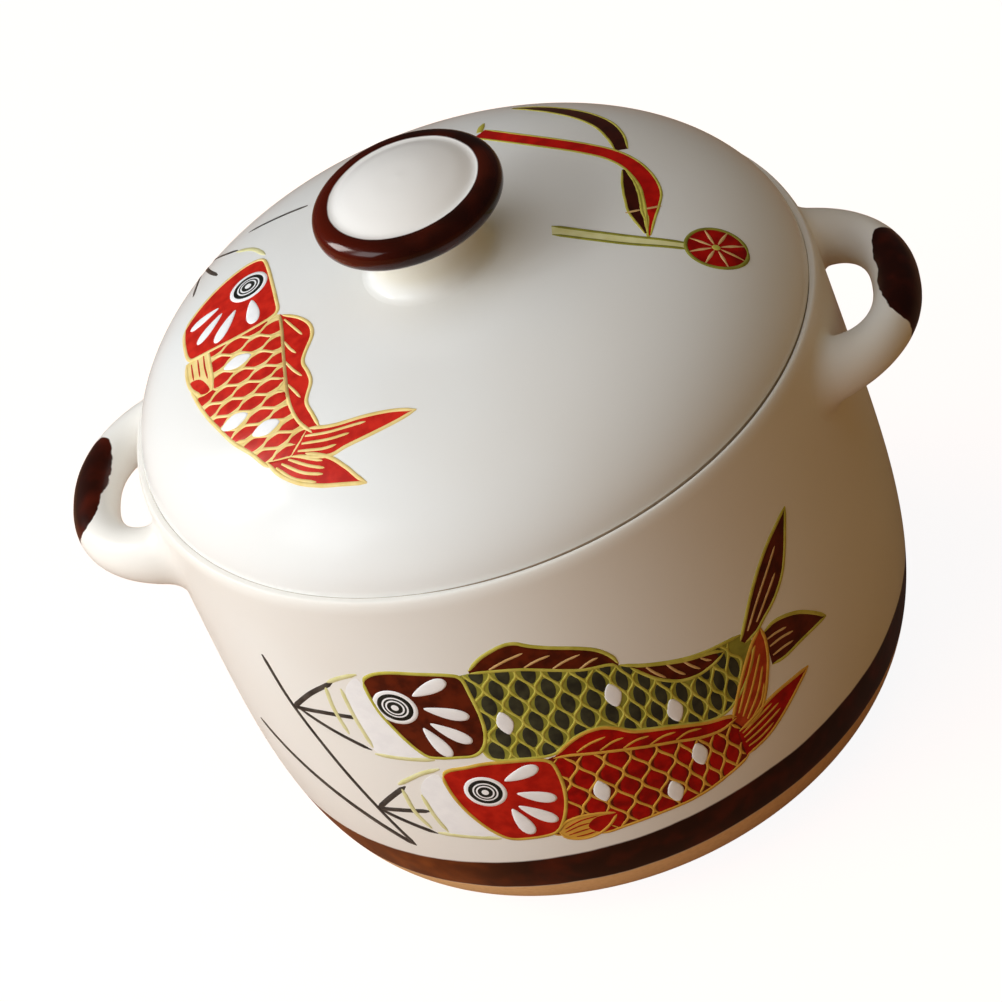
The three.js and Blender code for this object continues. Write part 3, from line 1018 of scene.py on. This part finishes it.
DARK_BACK = [(-13.5, 112), (-8, 111.3), (0, 109.5), (8, 106), (15, 102.8), (22, 101), (25.4, 98.8),
             (30, 96), (36, 93), (42, 90.4), (48, 88.6), (54, 87.4), (60, 86)]
DARK_CARP = {
    "line": "slip", "edge": "slip", "ray": "ray", "fin": "brown", "skin": "moss", "scale": "olive",
    "face": "brown", "head_edge": "slip", "net": 1.1, "cell": (0.58, 0.65),
    "head": [(-45, 110), (-42, 113.5), (-36, 114.8), (-28, 114), (-20, 112.6), (-16.4, 110.6),
             (-15.8, 104), (-15.6, 96), (-16.4, 89.5), (-18.5, 84.4), (-22, 81.6), (-27, 81.4),
             (-32, 81.4), (-36, 82.4), (-39.5, 87.5), (-42, 93), (-44.4, 100)],
    "eye": ((-38.5, 101.5), 6.7),
    "petals": [((-32, 105.8), (-20.6, 110.8), 5.6), ((-30.5, 101), (-18.4, 96.2), 5.4),
               ((-30.5, 95.2), (-20.8, 86.6), 5.4), ((-33, 93.6), (-28.6, 81.6), 5.6)],
    "back": DARK_BACK,
    "belly": [(61.4, 81), (58.4, 75), (53, 69), (47, 65.6), (41, 66.4), (36, 69), (31, 71.6), (26, 73.8),
              (21, 76.2), (17, 79.4), (13, 81.4), (8, 81.4), (3, 79.3), (-1.4, 76.9), (-10, 77.8),
              (-17, 79.2), (-19.4, 84), (-18, 92), (-17.4, 102), (-17.8, 108), (-17.4, 111.6)],
    "spine": [(-21, 101.8), (-10, 98.6), (20, 90), (33, 82.6), (46, 76.5), (58, 79)],
    "scales_from": -17.5, "tall": 12.2,
    "pitches": [3.75] * 2 + [3.333] * 9 + [2.76] * 5 + [2.69] * 9,
    "white": [(-10, 92), (20, 90.4), (33.8, 76)],
    "lips": [(-52.4, 106), (-46.6, 112), (-45.4, 104), (-43.4, 96.6), (-40.4, 89), (-36.6, 82.4),
             (-44, 81.4), (-51.6, 82.4), (-53, 94)],
    "fins": [
        {"outer": [(-13.5, 112.8), (-9, 116.6), (-3, 119), (1, 118.9), (4.5, 116.6), (9.5, 113.8),
                   (15.5, 110.8), (20.5, 107.4), (23.6, 103.2), (24.5, 100)],
         "inner": DARK_BACK[:6] + [(24.2, 99.2)],
         "rays": [[(-8, 112), (-3, 113.8), (3, 115)], [(1, 109.8), (5, 111), (9.5, 111.4)],
                  [(8, 106.6), (12, 107.8), (17, 108.2)], [(14.5, 103.4), (18, 104.6), (21, 104.8)]]},
        {"outer": [(27, 97.6), (31, 95.3), (36, 92.7), (41, 90.2), (46, 88.4), (50, 86.8), (52.6, 85)],
         "inner": [(27, 97), (29.6, 93), (33, 88.6), (38, 84.6), (43, 83), (47, 83.1), (50.4, 83.9),
                   (52.6, 85)],
         "rays": [[(31, 94.6), (32.6, 91.4), (35.4, 87.2)], [(36.4, 92), (38, 88.6), (40.6, 84.8)],
                  [(41, 89.8), (42.6, 87), (45, 83.8)], [(45.6, 88), (47, 86), (49, 84.4)]]},
        {"outer": [(58, 84.4), (61, 88.8), (65, 94.4), (70, 100.2), (76, 105.2), (82, 108.4),
                   (86.5, 110.2)],
         "inner": [(59, 82.8), (63.5, 83.6), (67, 85.6), (72.4, 88.6), (77.4, 93.2), (80.8, 98.6),
                   (83.8, 104.6), (86.5, 110.2)],
         "rays": [[(61, 85.8), (68, 93.4), (79, 103.4)], [(64.5, 86.2), (70, 91), (76, 96)]]},
        {"outer": [(65.4, 81.4), (69, 82), (73, 80.8), (78, 77.8), (83, 72.8), (86.8, 68)],
         "inner": [(64.4, 69.8), (69, 68.8), (75, 69), (82, 68.6), (86.8, 68)],
         "rays": [[(65.6, 78.6), (69, 78.2), (73.4, 76.8)], [(65.6, 75.8), (70, 75.4), (75, 73.8)],
                  [(65.6, 72.4), (70, 72), (74, 71)]]},
    ],
    "mouth": [[(-57.5, 108.6), (-52, 111.4), (-46, 113.6)], [(-58.8, 107), (-59.6, 98), (-58.4, 88)],
              [(-53.6, 107), (-53.4, 96), (-52, 84)], [(-52.4, 81.4), (-44, 80.8), (-34, 80.6)]],
}

RED_BACK = [(-1.6, 76), (3, 75), (8, 73.5), (15, 71.3), (22, 68.8), (30, 65.8), (38, 62.2), (44, 60.8),
            (48, 62)]
RED_CARP = {
    "line": "amber", "edge": "amber", "ray": "amber", "fin": "crimson", "skin": "maroon",
    "scale": "crimson",
    "face": "cherry", "head_edge": "gold", "net": 1.15, "cell": (0.70, 0.70),
    "head": [(-33.9, 73.6), (-31.6, 76.2), (-26, 77.2), (-20, 78), (-12, 77.4), (-5.6, 76.2), (-2.6, 74),
             (-2, 69), (-2.4, 63), (-3.8, 57), (-6.2, 51.4), (-8.8, 47.6), (-12, 46.2), (-18, 46),
             (-23, 46.6), (-26.4, 49.4), (-29.4, 54), (-32.2, 60.4), (-33.8, 67.4)],
    "eye": ((-23.7, 67.2), 6.2),
    "petals": [((-17.2, 70.6), (-6.4, 74), 5.5), ((-15.4, 65.2), (-5.2, 60.2), 5.2),
               ((-16.6, 60.2), (-7.6, 51.4), 5.2), ((-18.6, 59.4), (-16.2, 47.6), 5.6)],
    "back": RED_BACK,
    "belly": [(50.5, 58), (49.5, 47.4), (40, 43.6), (30, 42), (20, 42.2), (10, 42.2), (3, 42), (-5, 44),
              (-11, 47), (-7, 56), (-4.6, 66), (-4, 72), (-3.4, 75.6)],
    "spine": [(-12, 61), (7.3, 58.5), (14.5, 57), (22, 55.5), (29, 53.8), (36, 51.8), (50, 49.5)],
    "scales_from": -12.5, "tall": 11.6,
    "pitches": [3.6] * 12 + [2.55] * 9,
    "white": [(7, 58.6), (35.6, 57), (25.6, 48)],
    "lips": [(-42.8, 68), (-38.6, 73.6), (-34.8, 74), (-34.2, 66), (-32, 59), (-28.6, 52), (-27, 48.6),
             (-40.6, 49.4), (-42.4, 58)],
    "fins": [
        {"outer": [(-0.5, 76.4), (4, 79.4), (9, 81.2), (13.6, 81), (17.2, 79), (21, 75.6), (26, 73.2),
                   (31, 71), (36, 68.4), (41, 65.9), (46.5, 63.8), (49, 62)],
         "inner": [(-1.6, 75.6)] + RED_BACK[1:8] + [(49, 61.6)],
         "rays": [[(5, 75.4), (9, 77), (14.6, 77.6)], [(11, 73.4), (15, 74.8), (19, 74.8)],
                  [(17, 71.2), (21, 72.2), (25.4, 71.6)], [(24, 68.6), (28, 69.4), (32.4, 68.6)],
                  [(31, 66), (35, 66.6), (39.4, 65)]]},
        {"outer": [(-9, 46.6), (-6.6, 49.8), (-2, 51.1), (3.4, 50.4), (8.6, 48.6)],
         "inner": [(-9, 46.6), (-7.6, 43.6), (-3.6, 41.8), (1, 42.2), (5, 44.6), (8.6, 48.6)],
         "tip": [(-0.6, 46.4), (2.6, 49.2), (8, 48.2), (5, 45.2), (1.6, 43)],
         "rays": [[(-7, 47.4), (-2, 49.4), (4, 49.6)], [(-7.4, 46), (-3, 47.4), (1, 47.6)],
                  [(-6.8, 44.6), (-3, 45.2), (0.6, 45.4)], [(-5, 43.2), (-2, 43.2), (1.6, 43.6)]]},
        {"colour": "rust",
         "outer": [(47.6, 61.6), (50, 66), (53, 71), (57, 76.6), (61, 81.2), (64.8, 83.8)],
         "inner": [(50, 56.4), (55.6, 57.8), (58.8, 61.8), (61.4, 67), (63.8, 73), (65, 79),
                   (64.8, 83.8)],
         "rays": [[(50, 62.6), (55.4, 71), (62, 80.6)], [(50.8, 60.6), (56.4, 68), (62.4, 77)],
                  [(51.8, 58.8), (57.4, 65), (61.8, 72.6)], [(53, 57.8), (57.6, 61.6), (60.4, 67)]]},
        {"outer": [(48, 56.4), (53, 57.8), (58, 59.4), (63, 60.2), (69, 60), (75, 59.4)],
         "inner": [(48, 46.6), (55, 48), (60, 50.2), (65, 53.2), (70, 56.4), (75, 59.4)],
         "rays": [[(49, 55.2), (54, 56.6), (61, 58.2)], [(49, 53.4), (55, 54.8), (63, 56.6)],
                  [(49, 51.4), (55, 52.4), (63, 54.4)], [(49.4, 49.4), (54, 49.8), (59.6, 51.6)]]},
    ],
    "mouth": [[(-49.5, 69.4), (-45, 72.2), (-40, 75), (-34, 77)], [(-49, 67.6), (-48.6, 58), (-46, 51)],
              [(-43.4, 66), (-42.6, 57), (-41, 50)], [(-44.6, 49.2), (-36, 48.2), (-26, 47)]],
}

# The lid's carp is planned as the others are, head to the left, and turned a quarter on the dome
LID_BACK = [(4, -44.6), (12, -44), (22, -43.8), (32, -43.5), (40, -43), (47, -41), (53, -37.6),
            (57.6, -39)]
LID_CARP = {
    "line": "straw", "edge": "straw", "ray": "straw", "fin": "red", "skin": "straw", "scale": "red",
    "face": "red", "head_edge": "straw", "net": 1.2, "cell": (0.72, 0.74),
    "head": [(-13, -76), (-18.4, -72), (-23.4, -65), (-26.4, -58), (-27, -53), (-25.4, -50), (-20, -48.4),
             (-12, -47), (-4, -45.8), (2, -45.4), (4.2, -49), (5.3, -57), (5, -64), (3.8, -71),
             (2.2, -74), (-4, -75.6)],
    "eye": ((-15.3, -54.5), 6.2),
    "petals": [((-8.2, -53.4), (3, -52.6), 5.2), ((-7.4, -58.4), (3, -65), 4.8),
               ((-9.4, -62.8), (-1.6, -71.2), 4.4), ((-12.8, -64), (-10.8, -74), 4.2)],
    "back": LID_BACK,
    "belly": [(60, -44), (58.6, -47), (56, -51.4), (49.5, -56), (43, -61), (35, -65.5), (28, -69),
              (20, -72), (12, -74), (3, -73.6), (3.4, -66), (3.2, -52), (2.6, -46.6)],
    "spine": [(1, -59.4), (15.5, -58), (23, -57), (30, -55.2), (40, -52), (58, -44)],
    "scales_from": -3.7, "tall": 12.4,
    "pitches": [3.5] * 7 + [2.95] * 7 + [2.6] * 8,
    "white": [(15.5, -58), (36.6, -60), (44.4, -50.6)],
    "fins": [
        {"outer": [(4.6, -44), (8.5, -39), (13, -35.8), (18, -35.2), (24, -37.5), (27.5, -38.2),
                   (32, -36.8), (36, -36.3), (42, -38), (47, -36.6), (52, -35)],
         "inner": LID_BACK[:6] + [(53, -37.2)],
         "rays": [[(7, -43.2), (12, -40.4), (17, -37.6)], [(16.4, -43.4), (20, -41.8), (23.4, -39.6)],
                  [(24.4, -43.4), (29, -41), (33, -38.2)], [(33.4, -43), (37, -41), (40.6, -39.2)]]},
        {"outer": [(3.4, -75), (9, -74.8), (15, -73.4), (20.6, -69.8)],
         "inner": [(3.6, -67.6), (10, -66.8), (16, -66.2), (20.6, -66.4)],
         "tip": [(12.4, -73.6), (16.4, -72.6), (20, -69.6), (20.2, -67.2), (16.6, -68.4), (13.4, -70.6)],
         "rays": [[(5, -73.2), (9, -72.8), (13, -72.4)], [(5, -71), (9.4, -70.6), (13.6, -70.2)],
                  [(5, -69), (10, -68.6), (16, -67.6)]]},
        {"outer": [(51, -38.4), (53.4, -31), (54.3, -22), (55.6, -14), (57.6, -7.6)],
         "inner": [(57, -44), (61.6, -34), (61.2, -28), (60.4, -20), (59.2, -13), (57.6, -7.6)],
         "rays": [[(53, -39.4), (55, -32), (56.2, -21)], [(54.8, -40.6), (57, -33), (57.8, -26)],
                  [(56.4, -42), (59, -35), (59.6, -30)]]},
        {"outer": [(58, -40), (62, -33.6), (67, -29), (70.6, -26.4), (73.2, -24)],
         "inner": [(55, -51.4), (60, -48.4), (65, -43.2), (68.6, -37), (71.2, -30), (73.2, -24)],
         "rays": [[(57.6, -42.6), (60.6, -38.2), (62.8, -34.6)],
                  [(57.4, -45), (61.8, -39.6), (65, -34.4)], [(57.6, -47.2), (63, -41.4), (66.4, -35)],
                  [(57.8, -49), (63.4, -44.2), (67.6, -37.4)]]},
    ],
    "mouth": [[(-28, -49.6), (-35, -54), (-40, -60)]],
}

# Brushed lines as width and path: the pole and the bridles on the wall, and those on the lid
WALL_INK = [
    (1.7, [(-80, 112), (-77, 95), (-70, 76), (-62, 57), (-55.4, 41)]),
    (2.4, [(-104, 73), (-94, 67), (-80, 58.5), (-68, 50.5), (-55.4, 41)]),
    (1.7, [(-76.4, 93), (-66, 102), (-55.6, 109)]), (1.7, [(-76.4, 93), (-64, 95), (-52, 95.8)]),
    (1.6, [(-74, 93), (-64, 88), (-52.8, 82.8)]), (1.8, [(-61.6, 56.4), (-55, 62.6), (-47.4, 69)]),
    (1.8, [(-61.6, 56.4), (-53, 57.8), (-43, 59)]), (1.8, [(-61, 56), (-53, 52.4), (-44.8, 48.8)]),
]
LID_INK = [
    (1.3, [(-66, 32.5), (-69.6, 40), (-72.4, 49), (-73.8, 56), (-74, 62)]),
    (1.1, [(-74.6, 31), (-74.2, 42), (-75.6, 52)]),
    (1.1, [(-59.6, 40.4), (-66, 46), (-70.4, 53), (-71, 62)]),
    (1.2, [(-37, 46), (-47, 47.6), (-57, 49.6)]),
]
INK_SPREAD = 1.25
INK_LINE = (0.06, (0.5, 0.25))

# Ribbons on the lid: colour, middle line, widths along it
RIBBONS = [
    ("scarlet", [(59.8, -11), (60.6, -4), (61.4, 2), (61.6, 9), (60, 16), (56.6, 23.4), (51.4, 29.6),
                 (44, 35), (34, 41.6), (24, 48.6), (14.6, 56)],
     [0.6, 2.6, 4.9, 5.1, 4.9, 4.8, 4.8, 4.8, 4.8, 4.8, 5.0]),
    ("umber", [(59, -10), (57.8, -4), (56.8, 0), (56.4, 6), (55.8, 13), (54.8, 20.6)],
     [0.6, 2.8, 3.8, 4.0, 3.2, 0.8]),
    ("umber", [(54.6, 31.6), (53, 40), (49.6, 49), (43.6, 57.4), (36, 64.6), (29, 70), (23, 74)],
     [3.4, 4.8, 5.2, 5.2, 4.8, 3.8, 1.0]),
]
RIBBON_STEP = 1.2
RIBBON_LIFT = 0.06
RIBBON_LINE = (0.9, 0.16)

# Pole top on the lid: its two sides, the cord and the tag of the ribbons, ties and the spoked wheel
POLE_SIDES = [[(34, -0.6), (45, -6.4), (56, -11), (69, -14.5)],
              [(34, -4.4), (44, -9.6), (55, -14), (69, -16.9)]]
POLE_LINE = (1.2, 0.14, (0.3, 0.6))
CORD = [(59.4, -12), (60, -4), (59.4, 4), (58.4, 12), (55.6, 20.6)]
CORD_LINE = (2.4, 0.06)
TAG = [(14.6, 57), (14.9, 60), (15.6, 63.4)]
TAG_LINE = (2.4, 0.16, (1.0, 0.3))
TIES = [[(54.2, -0.3), (56.4, 0), (58.4, 0.4)], [(59.4, 0.6), (61.6, 1), (63.8, 1.6)]]
TIE_STEP = 0.4
TIE_LINE = (1.0, 0.2)
WHEEL = Vector((76.2, -15.6))
WHEEL_RADIUS = 7.6
WHEEL_RISE = (0.05, 0.06)
WHEEL_LINE = (1.2, 0.2)
RIM_SIDES = 48
SPOKES = 8
SPOKE_TURN = 0.4
SPOKE_PLACES = [0.8 + 0.9 * i for i in range(8)]
SPOKE_LINE = (1.1, 0.22)
HUB = (1.1, 0.12, 0.1)

# How much higher the red carp lies, which is in front of the dark one
FRONT_LIFT = 0.06


def ink_lines(figure, strokes):
    """Brushed lines of a figure."""
    for width, path in strokes:
        figure.trail("ink", curve(path), width * INK_SPREAD, *INK_LINE)


def raised(place, extra):
    """The same surface with everything laid a little higher, for a figure in front of another."""
    return lambda x, y, lift: place(x, y, lift + extra if lift > 0 else lift)


def ribbon(figure, colour, anchors, widths):
    """Streaming ribbon with outlined edges."""
    middle = curve(anchors, RIBBON_STEP)
    last = len(middle) - 1
    left, right = [], []
    for i, spot in enumerate(middle):
        along = (middle[min(i + 1, last)] - middle[max(i - 1, 0)]).normalized()
        place = i / last * (len(widths) - 1)
        k = min(int(place), len(widths) - 2)
        half = (widths[k] + (widths[k + 1] - widths[k]) * (place - k)) / 2
        side = Vector((-along.y, along.x)) * half
        left.append(spot + side)
        right.append(spot - side)
    figure.fill(colour, left + right[::-1], RIBBON_LIFT)
    figure.trail("slip", left, *RIBBON_LINE)
    figure.trail("slip", right, *RIBBON_LINE)


def wall_figures():
    """The pole and the two carps on the pot's wall."""
    pole = Figure("pole", "pot", "pot_glaze", on_wall)
    ink_lines(pole, WALL_INK)
    pole.finish()
    for name, plan, extra in (("dark_carp", DARK_CARP, 0.0), ("red_carp", RED_CARP, FRONT_LIFT)):
        figure = Figure(name, "pot", "pot_glaze", raised(on_wall, extra))
        carp(figure, plan)
        figure.finish()


def lid_figures():
    """The carp on the lid, and the pole's top with its ribbons and wheel."""
    figure = Figure("lid_carp", "lid", "lid_glaze", lambda s, t, lift: on_lid(t, -s, lift))
    carp(figure, LID_CARP)
    figure.finish()
    figure = Figure("lid_pole", "lid", "lid_glaze", on_lid)
    ink_lines(figure, LID_INK)
    upper, lower = [curve(side) for side in POLE_SIDES]
    figure.fill("reed", upper + lower[::-1], SKIN_LIFT)
    figure.trail("moss", upper, *POLE_LINE)
    figure.trail("moss", lower, *POLE_LINE)
    figure.trail("slip", curve(CORD, RIBBON_STEP), *CORD_LINE)
    ribbon(figure, *RIBBONS[0])
    figure.trail("slip", curve(TAG), *TAG_LINE)
    for made in RIBBONS[1:]:
        ribbon(figure, *made)
    for tie in TIES:
        figure.trail("ray", curve(tie, TIE_STEP), *TIE_LINE)
    figure.disc("crimson", WHEEL, WHEEL_RADIUS, *WHEEL_RISE)
    rim = [WHEEL + p for p in ring_points(RIM_SIDES, WHEEL_RADIUS)]
    figure.trail("moss", rim + rim[:2], *WHEEL_LINE)
    for k in range(SPOKES):
        angle = math.tau * (k + SPOKE_TURN) / SPOKES
        way = Vector((math.cos(angle), math.sin(angle)))
        figure.trail("ray", [WHEEL + way * place for place in SPOKE_PLACES], *SPOKE_LINE)
    figure.disc("slip", WHEEL, *HUB)
    figure.finish()


# Pieces

pot_points, pot_faces = lathe(pot_profile())
make_piece("pot_shell", seat_play(pot_points), pot_faces, "pot", "pot_glaze", pot_glaze(), ["pot_body"])
make_piece("foot", *lathe(foot_profile()), "pot", "bare_clay", bare_clay("bare_clay"), ["foot_ring"])
make_piece("handle_right", *handle_mesh(1), "pot", "handle_glaze",
           handle_glaze("handle_right", *RIGHT_PATCH), ["right_handle"])
make_piece("handle_left", *handle_mesh(-1), "pot", "handle_glaze",
           handle_glaze("handle_left", *LEFT_PATCH), ["left_handle"])
make_piece("lid_shell", *lathe(lid_profile()), "lid", "lid_glaze", lid_glaze(), ["lid_dome"])
make_piece("collar", *lathe(collar_profile()), "lid", "collar_clay", bare_clay("collar_clay"), ["lid_collar"])
make_piece("stem", *lathe(stem_profile()), "lid", "lid_glaze", stem_glaze(), ["knob_stem"])
make_piece("cap", *lathe(cap_profile()), "lid", "knob_glaze", knob_glaze(), ["knob_cap"])
wall_figures()
lid_figures()


# Floor, light and camera: lengths from here on are metres, but for the size of noise

POT_MIDDLE = Vector((0, 0, 0.09))
FLOOR_HALF = 6.0
FLOOR_NOISE = 120
FLOOR_TONES = ((146, 102, 64), (156, 112, 72))
FLOOR_GLOW = (0.975, 0.99, 1, 1)
FLOOR_BRIGHT = 0.93
FLOOR_ROUGHNESS = 0.9
WORLD_WARM = (1.0, 0.93, 0.85, 1)
WORLD_WHITE = (1.0, 1.0, 1.0, 1)
WORLD_LEVELS = (0.035, 1.0)

# Camera, as fitted to the photograph's frame
IMAGE_SIZE = 1002
FOCAL_PIXELS = 4300.0
SENSOR_WIDTH = 36.0
AIM = Vector((0, 0, 67.9)) * MM
AIM_PIXEL = (548.63, 533.42)
CAMERA_DISTANCE = 1238.8 * MM
CAMERA_TURN = math.radians(12.0)
CAMERA_RISE = math.radians(39.57)
CAMERA_ROLL = -0.400


def area_lamp(name, towards, distance, size, power, colour, mirrored=False, lights=True):
    """Soft square lamp that faces the middle of the pot; a mirrored one shows in the glaze."""
    data = bpy.data.lights.new(name, "AREA")
    data.shape, data.size, data.size_y = "RECTANGLE", size[0], size[1]
    data.energy, data.color = power, colour
    lamp = bpy.data.objects.new(name, data)
    bpy.context.scene.collection.objects.link(lamp)
    lamp.visible_glossy, lamp.visible_diffuse = mirrored, lights
    lamp.location = POT_MIDDLE + Vector(towards).normalized() * distance
    lamp.rotation_euler = (POT_MIDDLE - lamp.location).to_track_quat("-Z", "Y").to_euler()


def make_floor():
    """Large pale floor that keeps the pot's shadow."""
    corners = [(x * FLOOR_HALF, y * FLOOR_HALF, 0) for x, y in ((-1, -1), (1, -1), (1, 1), (-1, 1))]
    mesh = bpy.data.meshes.new("floor")
    mesh.from_pydata(corners, [], [(0, 1, 2, 3)])
    floor = bpy.data.objects.new("floor", mesh)
    bpy.context.scene.collection.objects.link(floor)
    shade = Shade("floor")
    bsdf = shade.bsdf.inputs
    shade.put(bsdf["Base Color"], shade.tones(shade.noise(FLOOR_NOISE, 3), FLOOR_TONES))
    bsdf["Roughness"].default_value = FLOOR_ROUGHNESS
    bsdf["Emission Color"].default_value = FLOOR_GLOW
    shade.put(bsdf["Emission Strength"], shade.math("MULTIPLY", shade.seen_directly(), FLOOR_BRIGHT))
    mesh.materials.append(shade.material)


def make_world():
    """Dim warm surroundings; white where they are seen directly."""
    world = bpy.data.worlds.new("studio")
    world.use_nodes = True
    nodes = Nodes(world.node_tree)
    background = nodes.tree.nodes["Background"].inputs
    seen = nodes.seen_directly()
    nodes.put(background["Color"], nodes.mix(seen, WORLD_WARM, WORLD_WHITE))
    level = nodes.node("ShaderNodeMapRange", Value=seen, To_Min=WORLD_LEVELS[0], To_Max=WORLD_LEVELS[1])
    nodes.put(background["Strength"], level.outputs[0])
    bpy.context.scene.world = world


def make_camera():
    """Camera at the photograph's angle, turned so that the aim falls on its pixel."""
    level_back = Vector((math.sin(CAMERA_TURN), -math.cos(CAMERA_TURN), 0))
    back = level_back * math.cos(CAMERA_RISE) + UP * math.sin(CAMERA_RISE)
    right = Vector((math.cos(CAMERA_TURN), math.sin(CAMERA_TURN), 0))
    level = Matrix((right, -back.cross(right), -back))
    swing, nod = [math.atan2(pixel - IMAGE_SIZE / 2, FOCAL_PIXELS) for pixel in AIM_PIXEL]
    axes = (Matrix.Rotation(swing, 3, "Y") @ Matrix.Rotation(-nod, 3, "X")
            @ Matrix.Rotation(CAMERA_ROLL, 3, "Z") @ level)
    data = bpy.data.cameras.new("camera")
    data.sensor_width = SENSOR_WIDTH
    data.lens = FOCAL_PIXELS * SENSOR_WIDTH / IMAGE_SIZE
    camera = bpy.data.objects.new("camera", data)
    bpy.context.scene.collection.objects.link(camera)
    rotation = Matrix((axes[0], -axes[1], -axes[2])).transposed()
    camera.matrix_world = Matrix.Translation(AIM + back * CAMERA_DISTANCE) @ rotation.to_4x4()
    bpy.context.scene.camera = camera


make_floor()
make_world()
make_camera()
area_lamp("window_glint", (-0.81, 0.17, 0.56), 1.2, (0.36, 0.5), 8.0, (1.0, 0.97, 0.93),
          mirrored=True, lights=False)
area_lamp("second_window", (-0.68, -0.33, 0.65), 1.2, (0.5, 0.5), 3.3, (0.93, 0.97, 1.0), mirrored=True)
area_lamp("window_glow", (-0.81, 0.17, 0.56), 1.3, (1.2, 1.2), 7.8, (0.98, 0.99, 1.0))
area_lamp("left_wall", (-0.92, -0.2, 0.32), 1.4, (1.8, 0.9), 2.7, (0.78, 0.89, 1.0))
area_lamp("front_left", (-0.7, -0.65, 0.3), 1.8, (1.6, 0.9), 16.4, (1.0, 0.965, 0.915))
area_lamp("ceiling", (0.0, 0.0, 1.0), 1.5, (1.4, 1.4), 5.1, (1.0, 0.97, 0.97))
area_lamp("warm_fill", (0.65, 0.6, 0.45), 1.7, (1.6, 1.3), 1.2, (1.0, 0.74, 0.22))
area_lamp("right_fill", (0.8, -0.5, 0.3), 1.7, (1.6, 1.0), 3.0, (1.0, 0.6, 0.16))
bpy.context.scene.view_settings.view_transform = "Standard"
